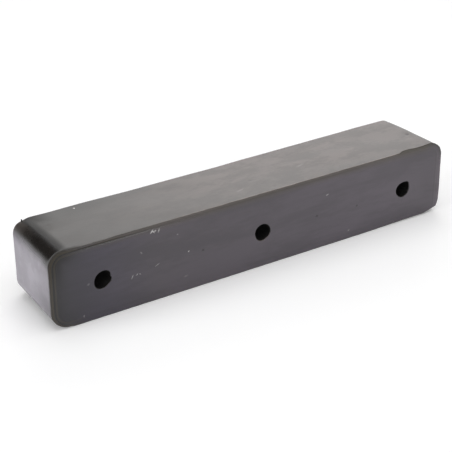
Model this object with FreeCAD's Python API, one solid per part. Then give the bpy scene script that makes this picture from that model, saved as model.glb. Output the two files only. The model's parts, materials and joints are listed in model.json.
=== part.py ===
import FreeCAD, Part
import math
import os

# Rubber stop: a moulded rubber bar that bolts to a wall or a frame through three holes.
# The mounting face is the plane y = 0 and looks to -Y, the impact face looks to +Y.
# The bar's length runs along X, its height along Z. All sizes are in millimetres and degrees.
# The origin is the middle bolt hole's mouth in the mounting face.

# Bar, measured over the parting lip round its mounting face
bar_length = 450.0
bar_height = 80.0
bar_depth = 80.0
upper_corner_radius = 15.0
lower_left_radius = 18.0
lower_right_radius = 10.0

# Mould: the sides taper towards the impact face, whose edges are rounded
draft_angle = 1.0
impact_edge_radius = 1.5

# Parting lip, where the mould's lid met its cavity
lip_overhang = 0.6
lip_thickness = 1.6

# Tear groove just inside the lip, a round channel pressed into the mounting face
groove_inset = 3.8
groove_radius = 0.9
groove_depth = 0.5

# Flash left untrimmed on the upper edge: a torn peak, then a low strip that dies out round the corner
flash_run = 54.0
flash_ramp = 3.0
flash_peak_height = 2.2
flash_peak_length = 8.0
flash_settle = 8.0
flash_height = 1.4
flash_end_angle = 30.0

# Flash left untrimmed on the right end, a thin crescent above the lower corner
side_flash_height = 1.6
side_flash_rise = 50.0

# Flat left by the knife along the lower right corner, sloping out to the side behind the lip
knife_cut_run = 22.0
knife_cut_angle = 15.0
knife_cut_slope = 10.0

# Bolt holes: a row of three core pins, of which the left one stood a little high
bolt_diameter = 16.0
bolt_clearance = 2.0
hole_pitch = 174.0
hole_row_shift = 2.2
hole_row_height = 37.3
left_hole_rise = 1.7

# Counterbores in the impact face, which sink each bolt's head and washer
washer_diameter = 30.0
washer_clearance = 6.0
counterbore_depth = 35.0
counterbore_edge_radius = 1.5

# Values that follow from the sizes above
bar_left = -bar_length / 2 - hole_row_shift
bar_right = bar_length / 2 - hole_row_shift
bar_bottom = -hole_row_height
bar_top = bar_height - hole_row_height
draft_inset = bar_depth * math.tan(math.radians(draft_angle))
hole_radius = (bolt_diameter + bolt_clearance) / 2
counterbore_radius = (washer_diameter + washer_clearance) / 2
counterbore_floor = bar_depth - counterbore_depth
hole_centres = [
    (-hole_pitch, left_hole_rise),
    (0.0, 0.0),
    (hole_pitch, 0.0),
]

depth_axis = FreeCAD.Vector(0, 1, 0)


def point(x, y, z):
    """A point of the part's frame."""
    return FreeCAD.Vector(x, y, z)


def corner_arc(centre_x, centre_z, radius, y, start_angle):
    """A quarter circle in the plane y that turns clockwise from start_angle, seen from the front."""
    ends = []
    for turn in (0, 45, 90):
        angle = math.radians(start_angle - turn)
        ends.append(point(centre_x + radius * math.cos(angle), y, centre_z + radius * math.sin(angle)))
    return Part.Arc(*ends).toShape()


def side(start_x, start_z, end_x, end_z, y):
    """A straight edge in the plane y."""
    return Part.LineSegment(point(start_x, y, start_z), point(end_x, y, end_z)).toShape()


def outline(inset, y):
    """The bar's rounded outline in the plane y, moved inwards by inset from the lip's edge."""
    left = bar_left + inset
    right = bar_right - inset
    bottom = bar_bottom + inset
    top = bar_top - inset
    upper = upper_corner_radius - inset
    lower_left = lower_left_radius - inset
    lower_right = lower_right_radius - inset
    edges = [
        side(left + upper, top, right - upper, top, y),
        corner_arc(right - upper, top - upper, upper, y, 90),
        side(right, top - upper, right, bottom + lower_right, y),
        corner_arc(right - lower_right, bottom + lower_right, lower_right, y, 0),
        side(right - lower_right, bottom, left + lower_left, bottom, y),
        corner_arc(left + lower_left, bottom + lower_left, lower_left, y, -90),
        side(left, bottom + lower_left, left, top - upper, y),
        corner_arc(left + upper, top - upper, upper, y, 180),
    ]
    return Part.Wire(edges)


def edges_in_plane(shape, y):
    """The edges of a shape that lie wholly in the plane y."""
    tolerance = 0.001
    found = []
    for edge in shape.Edges:
        box = edge.BoundBox
        if abs(box.YMin - y) < tolerance and abs(box.YMax - y) < tolerance:
            found.append(edge)
    return found


def make_tapered_body():
    """The bar itself, drawn in towards the impact face by the draft, with that face's edges rounded."""
    front = outline(lip_overhang, 0.0)
    back = outline(lip_overhang + draft_inset, bar_depth)
    body = Part.makeLoft([front, back], True, True)
    return body.makeFillet(impact_edge_radius, edges_in_plane(body, bar_depth))


def make_parting_lip():
    """The thin lip that stands out all round the mounting face."""
    return Part.Face(outline(0.0, 0.0)).extrude(depth_axis * lip_thickness)


def corner_point(radius, angle_degrees):
    """A point in the lip's front plane, that far from the upper right corner's centre."""
    angle = math.radians(angle_degrees)
    centre_x = bar_right - upper_corner_radius
    centre_z = bar_top - upper_corner_radius
    return point(centre_x + radius * math.cos(angle), 0, centre_z + radius * math.sin(angle))


def make_upper_flash():
    """The flash of the upper edge, as thick as the lip: ramp, peak, low strip, run round the corner."""
    start_x = bar_right - flash_run
    peak_x = start_x + flash_ramp
    fall_x = peak_x + flash_peak_length
    root_z = bar_top - upper_corner_radius
    middle_angle = (90 + flash_end_angle) / 2
    start = point(start_x, 0, bar_top)
    peak = point(peak_x, 0, bar_top + flash_peak_height)
    fall = point(fall_x, 0, bar_top + flash_peak_height)
    strip = point(fall_x + flash_settle, 0, bar_top + flash_height)
    corner_start = corner_point(upper_corner_radius + flash_height, 90)
    corner_middle = corner_point(upper_corner_radius + flash_height / 2, middle_angle)
    corner_end = corner_point(upper_corner_radius, flash_end_angle)
    corner_root = corner_point(0, 0)
    root = point(start_x, 0, root_z)
    edges = [
        Part.LineSegment(start, peak).toShape(),
        Part.LineSegment(peak, fall).toShape(),
        Part.LineSegment(fall, strip).toShape(),
        Part.LineSegment(strip, corner_start).toShape(),
        Part.Arc(corner_start, corner_middle, corner_end).toShape(),
        Part.LineSegment(corner_end, corner_root).toShape(),
        Part.LineSegment(corner_root, root).toShape(),
        Part.LineSegment(root, start).toShape(),
    ]
    return Part.Face(Part.Wire(edges)).extrude(depth_axis * lip_thickness)


def make_side_flash():
    """The crescent of flash on the right end, as thick as the lip."""
    low = bar_bottom + lower_right_radius
    high = bar_bottom + side_flash_rise
    tip = point(bar_right + side_flash_height, 0, (low + high) / 2)
    root_x = bar_right - lower_right_radius
    edges = [
        Part.Arc(point(bar_right, 0, high), tip, point(bar_right, 0, low)).toShape(),
        Part.LineSegment(point(bar_right, 0, low), point(root_x, 0, low)).toShape(),
        Part.LineSegment(point(root_x, 0, low), point(root_x, 0, high)).toShape(),
        Part.LineSegment(point(root_x, 0, high), point(bar_right, 0, high)).toShape(),
    ]
    return Part.Face(Part.Wire(edges)).extrude(depth_axis * lip_thickness)


def make_tear_groove():
    """A round channel that follows the lip, sunk into the mounting face by groove_depth."""
    path = outline(groove_inset, groove_depth - groove_radius)
    start = path.OrderedVertexes[0].Point
    circle = Part.Circle(start, point(1, 0, 0), groove_radius)
    return path.makePipeShell([Part.Wire(circle.toShape())], True, False, 2)


def make_knife_cut():
    """The wedge below the knife's stroke, which starts on the lower edge and rises to the right end."""
    size = bar_height
    wedge = Part.makeBox(2 * size, size, size, point(-size, 0, -size))
    wedge.rotate(point(0, 0, 0), point(1, 0, 0), -knife_cut_slope)
    wedge.rotate(point(0, 0, 0), depth_axis, -knife_cut_angle)
    wedge.translate(point(bar_right - knife_cut_run, 0, bar_bottom))
    return wedge


def make_bolt_passage(x, z):
    """The space of one bolt: its clearance hole, then the counterbore with a rounded mouth."""
    hole = Part.makeCylinder(hole_radius, bar_depth, point(x, 0, z), depth_axis)
    counterbore = Part.makeCylinder(
        counterbore_radius, counterbore_depth, point(x, counterbore_floor, z), depth_axis
    )
    return hole.fuse(counterbore)


def round_counterbore_mouths(bar):
    """Rounds the edge of each counterbore where it opens in the impact face."""
    mouths = []
    for edge in edges_in_plane(bar, bar_depth):
        if isinstance(edge.Curve, Part.Circle) and abs(edge.Curve.Radius - counterbore_radius) < 0.001:
            mouths.append(edge)
    return bar.makeFillet(counterbore_edge_radius, mouths)


def make_rubber_bar():
    """The whole bar as the single moulding that it is."""
    lip = make_parting_lip().fuse(make_upper_flash()).fuse(make_side_flash())
    bar = make_tapered_body().fuse(lip)
    bar = bar.cut(make_tear_groove()).cut(make_knife_cut())
    for x, z in hole_centres:
        bar = bar.cut(make_bolt_passage(x, z))
    bar = round_counterbore_mouths(bar.removeSplitter())
    return bar


def export(name, shape):
    """Writes one part of the model and prints what it measures."""
    solids = shape.Solids
    if len(solids) != 1 or not shape.isValid():
        raise RuntimeError(name + " is not one valid solid")
    solids[0].exportStep("parts/" + name + ".step")
    box = solids[0].BoundBox
    print(name, "volume", round(solids[0].Volume), "box", box)


os.makedirs("parts", exist_ok=True)
export("rubber_bar", make_rubber_bar())
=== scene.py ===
import json
import logging
import math
from dataclasses import dataclass, field
from enum import Enum
from typing import Any, Sequence

import bpy
import numpy as np
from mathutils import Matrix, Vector


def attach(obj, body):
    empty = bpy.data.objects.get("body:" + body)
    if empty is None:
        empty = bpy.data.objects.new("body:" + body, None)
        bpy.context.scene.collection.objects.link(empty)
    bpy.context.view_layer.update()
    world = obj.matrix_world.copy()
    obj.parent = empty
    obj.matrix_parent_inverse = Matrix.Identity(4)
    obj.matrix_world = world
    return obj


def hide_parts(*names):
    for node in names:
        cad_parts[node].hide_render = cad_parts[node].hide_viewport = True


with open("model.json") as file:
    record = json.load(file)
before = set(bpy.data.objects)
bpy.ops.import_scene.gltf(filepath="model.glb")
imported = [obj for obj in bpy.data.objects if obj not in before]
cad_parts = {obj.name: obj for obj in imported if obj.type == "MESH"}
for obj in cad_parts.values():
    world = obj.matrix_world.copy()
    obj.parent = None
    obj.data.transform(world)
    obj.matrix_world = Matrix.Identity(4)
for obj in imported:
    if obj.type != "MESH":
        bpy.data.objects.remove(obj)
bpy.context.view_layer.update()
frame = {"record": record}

# A moulded rubber stop: one bar of black rubber with a thin parting lip round its mounting face,
# flash that nobody trimmed, and three bolt holes. Sizes are in millimetres until a mesh is made.

MM = 0.001
BAR_NODE = "rubber_bar"
BODY = "root"
FLOOR_GAP = 0.0001
log = logging.getLogger("rubber_stop")

Pair = tuple[float, float]
Triple = tuple[float, float, float]


class Finish(Enum):
    """The three surfaces of the moulding, in the order of the mesh's material slots."""

    SKIN = 0
    LIP = 1
    BORE = 2


class Seed(Enum):
    """Where each random draw starts."""

    LIP_COARSE = 11
    LIP_FINE = 12
    MOUNTING_FACE = 21
    IMPACT_FACE = 22
    UPPER_SIDE = 23
    LOWER_SIDE = 24
    ENDS = 25


@dataclass(frozen=True)
class BarSize:
    """Sizes of the bar and of its parting lip, in millimetres and degrees."""

    length: float = 450.0
    height: float = 80.0
    depth: float = 80.0
    row_shift: float = 2.2
    row_height: float = 37.3
    upper_radius: float = 15.0
    lower_left_radius: float = 18.0
    lower_right_radius: float = 10.0
    draft: float = 1.0
    impact_radius: float = 1.5
    lip_overhang: float = 0.6
    lip_thickness: float = 1.6
    band: float = 9.0

    @property
    def left(self) -> float:
        """X of the lip's left end."""
        return -self.length / 2 - self.row_shift

    @property
    def right(self) -> float:
        """X of the lip's right end."""
        return self.length / 2 - self.row_shift

    @property
    def bottom(self) -> float:
        """Z of the lip's lower edge, on which the bar lies."""
        return -self.row_height

    @property
    def top(self) -> float:
        """Z of the lip's upper edge."""
        return self.height - self.row_height

    @property
    def slope(self) -> float:
        """How far the sides draw in for each millimetre of depth."""
        return math.tan(math.radians(self.draft))


@dataclass(frozen=True)
class LipFlaw:
    """A stretch of the lip that stands out or falls short, clockwise from start to end."""

    start: Pair
    end: Pair
    lead: float
    trail: float
    height: float


@dataclass(frozen=True)
class MouthFlaw:
    """A bulge or a nick of a hole's mouth, at an angle from +X towards +Z."""

    angle: float
    spread: float
    height: float


@dataclass(frozen=True)
class Dent:
    """A shallow round dent in the upper side, or a swelling where the depth is negative."""

    x: float
    y: float
    radius: float
    depth: float


@dataclass(frozen=True)
class Mark:
    """A scuff or a speck on a flat side: its centre and turn in that side's own two axes."""

    u: float
    v: float
    half_length: float
    half_width: float
    turn: float
    strength: float


@dataclass(frozen=True)
class Fade:
    """A soft ramp along a measure in millimetres: start up to the place low, end from the place high."""

    low: float
    high: float
    start: float = 0.0
    end: float = 1.0


def smoothstep(low: float, high: float, value: np.ndarray) -> np.ndarray:
    """A soft ramp: 3 t^2 - 2 t^3, with t going from 0 at low to 1 at high.

    Args:
        low: Where the ramp leaves 0.
        high: Where it reaches 1.
        value: Places along the ramp.
    Returns:
        The ramp at each place.
    """
    t = np.clip((value - low) / (high - low), 0.0, 1.0)
    return t * t * (3.0 - 2.0 * t)


def wave_field(u: np.ndarray, v: np.ndarray, length: float, seed: Seed, count: int = 9) -> np.ndarray:
    """A gentle random relief: a sum of sines whose crests run in random directions.

    Args:
        u: First coordinate in millimetres.
        v: Second coordinate in millimetres.
        length: The mean wavelength in millimetres.
        seed: Start of the random draw.
        count: How many waves are added.
    Returns:
        Heights, mostly between -1 and 1.
    """
    rng = np.random.default_rng(seed.value)
    total = np.zeros(np.broadcast(u, v).shape)
    for _ in range(count):
        heading = rng.uniform(0.0, 2.0 * math.pi)
        k = 2.0 * math.pi / (length * rng.uniform(0.65, 1.5))
        phase = rng.uniform(0.0, 2.0 * math.pi)
        total += np.sin(k * (u * math.cos(heading) + v * math.sin(heading)) + phase)
    return total / math.sqrt(2.0 * count)


def ring_noise(
    stations: np.ndarray, perimeter: float, length: float, seed: Seed, count: int = 14
) -> np.ndarray:
    """Random raggedness along a closed line: sines with a whole number of waves round it.

    Args:
        stations: Places along the line in millimetres.
        perimeter: The line's length.
        length: The mean wavelength in millimetres.
        seed: Start of the random draw.
        count: How many waves are added.
    Returns:
        Heights, mostly between -1 and 1.
    """
    rng = np.random.default_rng(seed.value)
    middle = perimeter / length
    total = np.zeros_like(stations)
    for _ in range(count):
        waves = max(1, round(middle * rng.uniform(0.4, 2.0)))
        total += np.sin(2.0 * math.pi * waves * stations / perimeter + rng.uniform(0.0, 2.0 * math.pi))
    return total / math.sqrt(2.0 * count)


class BarOutline:
    """The lip's outline as a closed row of stations, clockwise seen from the front.

    A station is a point of the rounded rectangle with the normal that points out of it.
    """

    SPACING = 2.2
    ARC_STEPS = 16

    def __init__(self, size: BarSize, splits: Pair) -> None:
        """Lays the stations out.

        Args:
            size: The bar's sizes.
            splits: X of the two upright lines midway between the holes.
        """
        self.size = size
        left, right, bottom, top = size.left, size.right, size.bottom, size.top
        up, low_l, low_r = size.upper_radius, size.lower_left_radius, size.lower_right_radius
        first, second = splits
        pieces = [
            self._line((left + up, top), (first, top), (0.0, 1.0)),
            self._line((first, top), (second, top), (0.0, 1.0)),
            self._line((second, top), (right - up, top), (0.0, 1.0)),
            self._arc((right - up, top - up), up, 90.0),
            self._line((right, top - up), (right, bottom + low_r), (1.0, 0.0)),
            self._arc((right - low_r, bottom + low_r), low_r, 0.0),
            self._line((right - low_r, bottom), (second, bottom), (0.0, -1.0)),
            self._line((second, bottom), (first, bottom), (0.0, -1.0)),
            self._line((first, bottom), (left + low_l, bottom), (0.0, -1.0)),
            self._arc((left + low_l, bottom + low_l), low_l, -90.0),
            self._line((left, bottom + low_l), (left, top - up), (-1.0, 0.0)),
            self._arc((left + up, top - up), up, 180.0),
        ]
        counts = [len(places) for places, _ in pieces]
        self.place = np.concatenate([places for places, _ in pieces])
        self.normal = np.concatenate([normals for _, normals in pieces])
        self.count = len(self.place)
        self.top_splits = (counts[0], counts[0] + counts[1])
        self.bottom_splits = (sum(counts[:8]), sum(counts[:7]))
        steps = np.linalg.norm(np.roll(self.place, -1, 0) - self.place, axis=1)
        self.station = np.concatenate([[0.0], np.cumsum(steps)[:-1]])
        self.perimeter = float(steps.sum())

    def _line(self, start: Pair, end: Pair, normal: Pair) -> tuple[np.ndarray, np.ndarray]:
        """Stations of a straight side, start + t (end - start), without its last point.

        Args:
            start: X and Z of the first station.
            end: X and Z of the next piece's first station.
            normal: The way out of the side.
        Returns:
            The places and the normals.
        """
        a, b = np.array(start), np.array(end)
        steps = max(2, round(float(np.linalg.norm(b - a)) / self.SPACING))
        t = np.arange(steps)[:, None] / steps
        return a + t * (b - a), np.tile(np.array(normal), (steps, 1))

    def _arc(self, centre: Pair, radius: float, start: float) -> tuple[np.ndarray, np.ndarray]:
        """Stations of a clockwise quarter circle, centre + radius (cos, sin), without its last point.

        Args:
            centre: X and Z of the arc's centre.
            radius: The arc's radius.
            start: The first station's angle in degrees, from +X towards +Z.
        Returns:
            The places and the normals.
        """
        angle = np.radians(start - 90.0 * np.arange(self.ARC_STEPS) / self.ARC_STEPS)
        normal = np.stack([np.cos(angle), np.sin(angle)], 1)
        return np.array(centre) + radius * normal, normal

    def nearest(self, point: Pair) -> float:
        """Distance along the outline of the station nearest to a point."""
        gap = np.linalg.norm(self.place - np.array(point), axis=1)
        return float(self.station[int(np.argmin(gap))])

    def flaw_height(self, flaw: LipFlaw) -> np.ndarray:
        """A flaw's height at every station: a plateau with a soft ramp at each end.

        Args:
            flaw: The stretch of lip.
        Returns:
            Millimetres outwards at each station.
        """
        start = self.nearest(flaw.start)
        run = (self.nearest(flaw.end) - start) % self.perimeter
        along = (self.station - start) % self.perimeter
        rise = smoothstep(0.0, flaw.lead, along)
        fall = smoothstep(0.0, flaw.trail, run - along)
        return flaw.height * rise * fall

    def at(self, inset: np.ndarray) -> np.ndarray:
        """The outline moved inwards: place - inset * normal.

        Args:
            inset: Millimetres for each row, or for each row and station.
        Returns:
            Points (rows, stations, 2) in X and Z.
        """
        return self.place[None] - inset[..., None] * self.normal[None]


@dataclass(frozen=True)
class KnifeCut:
    """The flat that a knife left along the lower right corner: a plane that rises to the right end."""

    run: float = 22.0
    angle: float = 15.0
    slope: float = 10.0

    def height(self, size: BarSize, x: np.ndarray, y: np.ndarray) -> np.ndarray:
        """Z of the cut: it climbs with X by tan(angle) and falls with Y by tan(slope) / cos(angle).

        Args:
            size: The bar's sizes.
            x: Places along the bar.
            y: Places through the bar.
        Returns:
            The lowest Z that rubber has there.
        """
        climb = math.tan(math.radians(self.angle))
        fall = math.tan(math.radians(self.slope)) / math.cos(math.radians(self.angle))
        return size.bottom + (x - size.right + self.run) * climb - y * fall


@dataclass(frozen=True)
class Groove:
    """A channel that follows the lip at a given inset, of which a trace is left right of X = fade_end."""

    inset: float
    half_width: float
    depth: float
    fade_end: float
    trace: float

    def sink(self, inset: np.ndarray) -> np.ndarray:
        """Depth of the channel across the band: depth * (1 - u^2)^1.5, with u = 1 at its sides."""
        u = np.clip(np.abs(inset - self.inset) / self.half_width, 0.0, 1.0)
        return self.depth * (1.0 - u * u) ** 1.5


@dataclass
class Patch:
    """A grid of points whose columns run clockwise round a closed line, with a finish for each strip.

    The rows lead outwards from the line, or into a hole, where the faces are turned round.
    """

    points: np.ndarray
    finishes: np.ndarray
    inward: bool = False

    def quads(self, offset: int) -> np.ndarray:
        """Faces of the grid as vertex numbers, in the order that makes them point out of the rubber.

        Args:
            offset: Number of the grid's first vertex.
        Returns:
            An array (faces, 4).
        """
        rows, columns = self.points.shape[:2]
        index = offset + np.arange(rows * columns).reshape(rows, columns)
        across = np.roll(index, -1, 1)
        faces = np.stack([index[:-1], across[:-1], across[1:], index[1:]], -1).reshape(-1, 4)
        return faces[:, ::-1] if self.inward else faces

    def strips(self) -> np.ndarray:
        """The finish of every face."""
        return np.repeat(self.finishes[:-1], self.points.shape[1])


@dataclass
class BoltPassage:
    """One bolt's clearance hole with the counterbore behind it."""

    x: float
    z: float
    radius: float
    bore_radius: float
    floor: float
    depth: float
    tightness: float
    flaws: Sequence[MouthFlaw]
    mouth_rounding: float = 0.7
    edge_rounding: float = 1.5
    flaw_reach: float = 7.0

    def mouth(self, angle: np.ndarray) -> np.ndarray:
        """Radius of the mouth round the hole: the pin's radius and a bell curve for each flaw.

        Args:
            angle: Angles in radians from +X towards +Z.
        Returns:
            Radii in millimetres.
        """
        radius = np.full_like(angle, self.radius - self.tightness)
        for flaw in self.flaws:
            turn = (np.degrees(angle) - flaw.angle + 180.0) % 360.0 - 180.0
            radius += flaw.height * np.exp(-0.5 * (turn / flaw.spread) ** 2)
        return radius

    def patch(self, ring: np.ndarray, ray_steps: int = 23, rear_steps: int = 13) -> Patch:
        """The surface from the mounting face through the passage to the impact face.

        Straight rays run from the ring to the mouth, where radius and depth follow the passage's profile,
        and the same rays run back to the ring on the impact face.

        Args:
            ring: Points (stations, 2) of the closed line round the hole, in X and Z.
            ray_steps: Rows between the ring and the mouth.
            rear_steps: Rows between the counterbore and the ring.
        Returns:
            The grid with its finishes.
        """
        centre = np.array([self.x, self.z])
        arm = ring - centre
        angle = np.arctan2(arm[:, 1], arm[:, 0])
        reach = np.linalg.norm(arm, axis=1)
        heading = arm / reach[:, None]
        mouth = self.mouth(angle)
        rows: list[tuple[np.ndarray, float, Finish]] = []
        rim = mouth + self.mouth_rounding
        for t in self._ease(ray_steps):
            rows.append((reach + t * (rim - reach), 0.0, Finish.SKIN))
        for share, y in ((0.45, 0.06), (0.14, 0.25)):
            rows.append((mouth + share * self.mouth_rounding, y, Finish.SKIN))
        for y in (0.6, 1.4, 2.8, 5.0, 8.0, 12.5, 19.0, 27.0, 36.0, 43.0):
            fade = math.exp(-((y / self.flaw_reach) ** 2))
            rows.append((self.radius + fade * (mouth - self.radius), y, Finish.BORE))
        whole = np.ones_like(angle)
        floor = self.floor
        for radius, y in (
            (self.radius, floor - 0.5),
            (self.radius + 0.15, floor - 0.12),
            (self.radius + 0.5, floor),
            (0.5 * (self.radius + self.bore_radius), floor),
            (self.bore_radius - 1.0, floor),
            (self.bore_radius - 0.3, floor + 0.1),
            (self.bore_radius, floor + 0.9),
        ):
            rows.append((radius * whole, y, Finish.BORE))
        wall_end = self.depth - self.edge_rounding
        for share in (0.1, 0.25, 0.45, 0.65, 0.85):
            rows.append((self.bore_radius * whole, floor + share * (wall_end - floor), Finish.BORE))
        for turn in np.radians((0.0, 22.5, 45.0, 67.5)):
            radius = self.bore_radius + self.edge_rounding * (1.0 - math.cos(turn))
            y = wall_end + self.edge_rounding * math.sin(turn)
            rows.append((radius * whole, y, Finish.BORE if turn < 0.5 else Finish.SKIN))
        edge = (self.bore_radius + self.edge_rounding) * whole
        for t in self._ease(rear_steps)[::-1]:
            rows.append((reach + t * (edge - reach), self.depth, Finish.SKIN))
        radii = np.stack([row[0] for row in rows])
        y = np.array([row[1] for row in rows])
        flat = centre + radii[..., None] * heading[None]
        depth = np.broadcast_to(y[:, None], radii.shape)
        points = np.stack([flat[..., 0], depth, flat[..., 1]], -1)
        return Patch(points, np.array([row[2].value for row in rows]), inward=True)

    @staticmethod
    def _ease(steps: int) -> np.ndarray:
        """Shares from 0 to 1 whose steps shorten towards 1: 1 - (1 - t)^1.35."""
        return 1.0 - (1.0 - np.linspace(0.0, 1.0, steps)) ** 1.35


@dataclass
class RubberBar:
    """The moulded bar: its outer shape, its holes, its torn lip and its finish."""

    size: BarSize
    passages: Sequence[BoltPassage]
    knife: KnifeCut = field(default_factory=KnifeCut)
    tear_groove: Groove = Groove(3.8, 0.85, 0.5, -30.0, 0.22)
    inner_groove: Groove = Groove(7.2, 1.1, 0.22, -190.0, 0.25)
    groove_rise: float = -212.0
    low_groove_loss: float = 0.85
    low_groove_height: Pair = (14.0, 2.0)
    low_groove_run: Pair = (-224.0, -200.0)
    lip_follow: Pair = (0.5, 2.9)
    lip_rows: float = 0.7
    lip_raggedness: float = 0.16
    lip_waves: Pair = (26.0, 8.0)
    lip_wave_shares: Triple = (0.6, 0.5, -0.4)
    flash_thinning: float = 0.4
    full_flash: float = 2.2
    sharp_angle: float = 42.0
    rear_bow: Sequence[float] = (-0.54, 1.25, 0.84, -0.8)
    shoulder: float = 1.7
    shoulder_run: Pair = (-206.0, -222.0)
    shoulder_loss: float = 0.92
    shoulder_depth: float = 6.0
    corner_swell: Pair = (1.0, 2.2)
    corner_heading: Pair = (0.69, 0.72)
    corner_run: Pair = (204.0, 215.0)
    corner_height: Pair = (26.0, 36.0)
    corner_depth: float = 5.0
    face_sink: float = 0.22
    face_waves: Pair = (75.0, 60.0)
    sink_ramp: float = 14.0
    sink_reach: float = 12.0
    side_wave: float = 0.18
    side_wave_length: float = 70.0
    side_wave_squeeze: float = 1.6
    side_depth: float = 14.0
    side_ramp: Pair = (12.0, 4.0)
    end_wave_length: float = 45.0
    end_ramp: Pair = (10.0, 2.0)
    flaws: Sequence[LipFlaw] = (
        LipFlaw((-204.0, 42.7), (-150.0, 42.7), 12.0, 24.0, -0.45),
        LipFlaw((168.8, 42.7), (220.8, 35.2), 3.0, 18.0, 1.0),
        LipFlaw((194.0, 42.7), (220.8, 35.2), 14.0, 18.0, 0.6),
        LipFlaw((168.8, 42.7), (187.0, 42.7), 3.0, 9.0, 0.8),
        LipFlaw((214.0, 41.3), (222.8, 2.0), 10.0, 22.0, 0.9),
        LipFlaw((222.8, 27.7), (222.2, -30.7), 34.0, 8.0, 1.55),
        LipFlaw((212.0, -37.3), (118.0, -37.3), 6.0, 76.0, -1.1),
        LipFlaw((-204.0, -37.3), (-226.9, -23.0), 5.0, 8.0, -1.0),
    )
    dents: Sequence[Dent] = (
        Dent(6.5, 32.7, 2.4, 0.35),
        Dent(12.4, 20.5, 2.0, 0.30),
        Dent(19.0, 7.9, 2.2, 0.32),
        Dent(26.3, 30.6, 1.8, 0.25),
        Dent(-14.0, 19.2, 3.4, 0.22),
        Dent(67.5, 34.4, 3.0, 0.18),
        Dent(205.1, 34.6, 1.9, 0.90),
        Dent(-215.4, 80.0, 4.5, 1.3),
        Dent(-206.0, 84.0, 10.0, -0.40),
        Dent(-154.0, 84.0, 22.0, -0.45),
    )

    def outline(self) -> BarOutline:
        """The lip's outline, split midway between the holes."""
        left, middle, right = (passage.x for passage in self.passages)
        return BarOutline(self.size, ((left + middle) / 2, (middle + right) / 2))

    def lip_reach(self, line: BarOutline) -> np.ndarray:
        """How far the torn lip stands out of the mould's outline: its flaws plus a ragged trim.

        Args:
            line: The mould's outline.
        Returns:
            Millimetres outwards at each station.
        """
        total = np.zeros(line.count)
        for flaw in self.flaws:
            total += line.flaw_height(flaw)
        coarse = ring_noise(line.station, line.perimeter, self.lip_waves[0], Seed.LIP_COARSE)
        fine = ring_noise(line.station, line.perimeter, self.lip_waves[1], Seed.LIP_FINE)
        coarse_share, fine_share, level = self.lip_wave_shares
        ragged = np.minimum(0.0, coarse_share * coarse + fine_share * fine + level)
        return total + self.lip_raggedness * ragged

    def band_patch(self, line: BarOutline) -> Patch:
        """The front band with its grooves, the lip, the drafted sides and the rounded impact edge.

        Every row is the outline moved inwards by its own inset at its own depth. The lip's rows are also
        moved out by the lip's reach, the front rows beside it by a share of that, and what lies under the
        knife's plane is lifted to it.

        Args:
            line: The mould's outline.
        Returns:
            The grid with its finishes.
        """
        size = self.size
        lip = size.lip_thickness
        front = np.concatenate(
            [np.linspace(size.band, 5.1, 11), np.linspace(4.7, 2.9, 8), (2.3, 1.8, 1.4, 1.1)]
        )
        follow = np.interp(front, self.lip_follow, (1.0, 0.0))
        rows = [(inset, 0.0, share, Finish.SKIN) for inset, share in zip(front, follow)]
        rows += [
            (inset, depth, reach, Finish.SKIN if depth < 0.15 else Finish.LIP)
            for inset, depth, reach in (
                (0.75, 0.0, 0.9),
                (0.5, 0.01, 1.0),
                (0.36, 0.04, 1.0),
                (0.24, 0.10, 1.0),
                (0.13, 0.20, 1.0),
                (0.05, 0.33, 1.0),
                (0.0, 0.52, 1.0),
                (0.0, 0.8, 1.0),
                (0.0, 1.1, 1.0),
                (0.0, lip - 0.3, 1.0),
                (0.05, lip - 0.1, 1.0),
                (0.22, lip, 0.8),
                (0.5, lip + 0.03, 0.2),
            )
        ]
        side = np.concatenate([(1.9, 2.3, 3.0, 4.2), np.linspace(6.0, 76.0, 33), (77.6, 78.3)])
        rows += [(size.lip_overhang + size.slope * y, y, 0.0, Finish.SKIN) for y in side]
        fillet_start = size.depth - size.impact_radius
        rear_inset = size.lip_overhang + size.slope * fillet_start
        for turn in np.radians(np.linspace(0.0, 90.0, 6)):
            inset = rear_inset + size.impact_radius * (1.0 - math.cos(turn))
            rows.append((inset, fillet_start + size.impact_radius * math.sin(turn), 0.0, Finish.SKIN))
        rows += [(inset, size.depth, 0.0, Finish.SKIN) for inset in (3.9, 5.8, size.band)]
        inset = np.array([row[0] for row in rows])[:, None]
        depth = np.array([row[1] for row in rows])[:, None]
        reach = np.array([row[2] for row in rows])[:, None]
        lip_reach = self.lip_reach(line)[None]
        flat = line.at(inset - reach * lip_reach)
        x, z = flat[..., 0], flat[..., 1]
        y = np.broadcast_to(depth, x.shape).copy()
        thinned = self.flash_thinning * np.clip(lip_reach / self.full_flash, 0.0, 1.0)
        y *= 1.0 - thinned * (reach > self.lip_rows)
        on_front = np.arange(len(rows))[:, None] < len(front)
        inner = self.inner_groove.sink(inset) * self._groove_share(line, self.inner_groove)[None]
        outer = self.tear_groove.sink(inset) * self._groove_share(line, self.tear_groove)[None]
        below = smoothstep(*self.low_groove_height, line.place[:, 1] - size.bottom)
        outer *= 1.0 - self.low_groove_loss * below * smoothstep(*self.low_groove_run, line.place[:, 0])
        y += np.where(on_front, inner + outer, 0.0)
        edge = line.at(-lip_reach)[0]
        lift = np.maximum(0.0, self.knife.height(size, edge[:, 0], np.zeros(line.count)) - edge[:, 1])
        lift *= edge[:, 0] > 0.0
        rise = lift[None] * np.clip(1.0 - inset / size.band, 0.0, 1.0)
        cut = self.knife.height(size, x, y)
        lipped = depth <= lip + 0.1
        z = np.where(lipped, z + rise, np.where(x > 0.0, np.maximum(z, cut), z))
        return Patch(np.stack([x, y, z], -1), np.array([row[3].value for row in rows]))

    def _groove_share(self, line: BarOutline, groove: Groove) -> np.ndarray:
        """How deep a groove runs at each station: fully at the left end, a trace past the fade's end."""
        full = smoothstep(groove.fade_end, self.groove_rise, line.place[:, 0])
        return groove.trace + (1.0 - groove.trace) * full

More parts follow.
